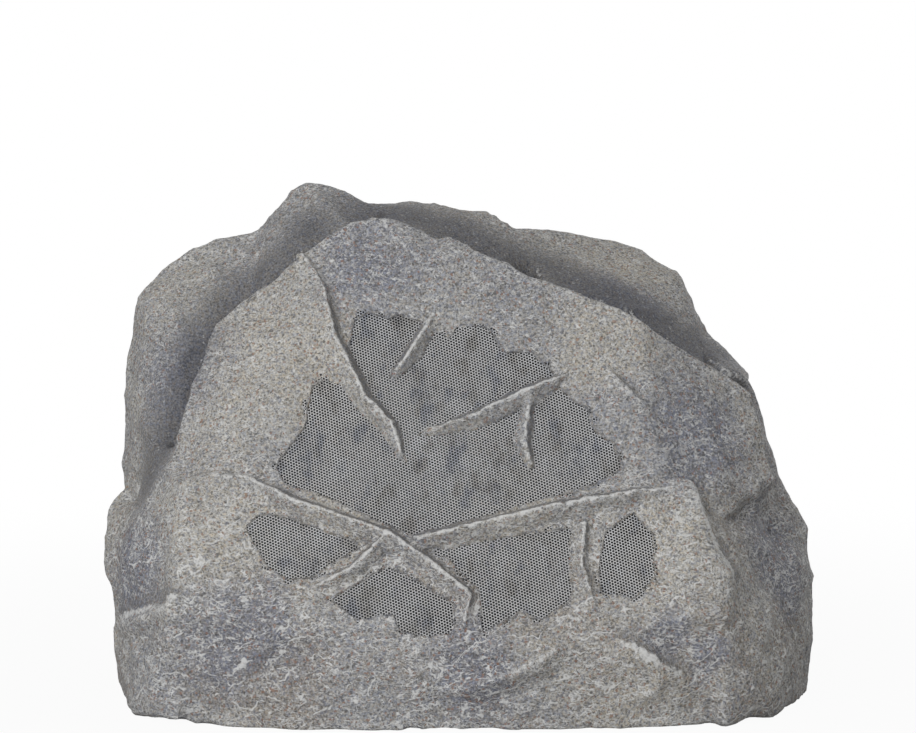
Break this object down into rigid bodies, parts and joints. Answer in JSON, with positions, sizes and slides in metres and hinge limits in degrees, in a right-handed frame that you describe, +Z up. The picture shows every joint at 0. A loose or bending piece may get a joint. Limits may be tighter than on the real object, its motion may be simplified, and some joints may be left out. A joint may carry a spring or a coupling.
{
  "type": "rock shaped garden speaker",
  "caption": "Hollow moulded boulder with ragged grille windows in its leaning front, a two-way loudspeaker behind a perforated sheet, and a cable hole at the back.",
  "frame": {"origin": "middle of the footprint's bounding box, on the ground", "axes": "+X to the right of a listener who faces the grille, +Y to the back of the boulder, +Z up; the grille faces -Y and leans back"},
  "size_m": [0.48, 0.38, 0.338],
  "materials": {
    "rock": "granite-look paint on a rough moulding",
    "grille": "matt painted perforated sheet",
    "baffle": "black moulding",
    "foam": "closed-cell foam",
    "screw": "stainless steel",
    "basket": "black powder coat",
    "surround": "matt rubber",
    "cone": "moulded polypropylene",
    "winding": "enamelled copper wire",
    "cloth": "treated cloth",
    "magnet": "sintered ferrite",
    "pole": "zinc-plated steel",
    "black_plastic": "black moulding",
    "board": "glass-fibre circuit board",
    "standoff": "turned brass",
    "capacitor": "yellow film wrap",
    "resistor": "white ceramic body",
    "terminal_block": "green moulding",
    "grommet": "black rubber"
  },
  "bodies": {
    "boulder": {"rock_shell": "rock", "grille_panel": "grille", "baffle": "baffle", "baffle_gasket": "foam", "woofer_gasket": "foam", "base_gasket": "foam", "baffle_screws": "screw", "woofer_screws": "screw", "tweeter_screws": "screw", "base_screws": "screw", "crossover_screws": "screw", "woofer_basket": "basket", "woofer_surround": "surround", "crossover_coils": "winding", "woofer_spider": "cloth", "tweeter_dome": "cloth", "woofer_magnet": "magnet", "woofer_top_plate": "pole", "woofer_yoke": "pole", "tweeter_motor": "pole", "woofer_terminal": "black_plastic", "tweeter_faceplate": "black_plastic", "base_plate": "black_plastic", "crossover_board": "board", "crossover_standoffs": "standoff", "crossover_capacitors": "capacitor", "crossover_resistor": "resistor", "crossover_terminals": "terminal_block", "cable_grommet": "grommet"},
    "cone": {"woofer_cone": "cone", "woofer_dust_cap": "cone", "voice_coil": "winding"}
  },
  "joints": [
    {"name": "cone_stroke", "type": "slide", "parent": "boulder", "child": "cone", "axis": [0, -0.8829, 0.4695], "range_m": [-0.005, 0.005], "stiffness_N_per_m": 1200, "deforming": ["woofer_surround", "woofer_spider"]}
  ]
}
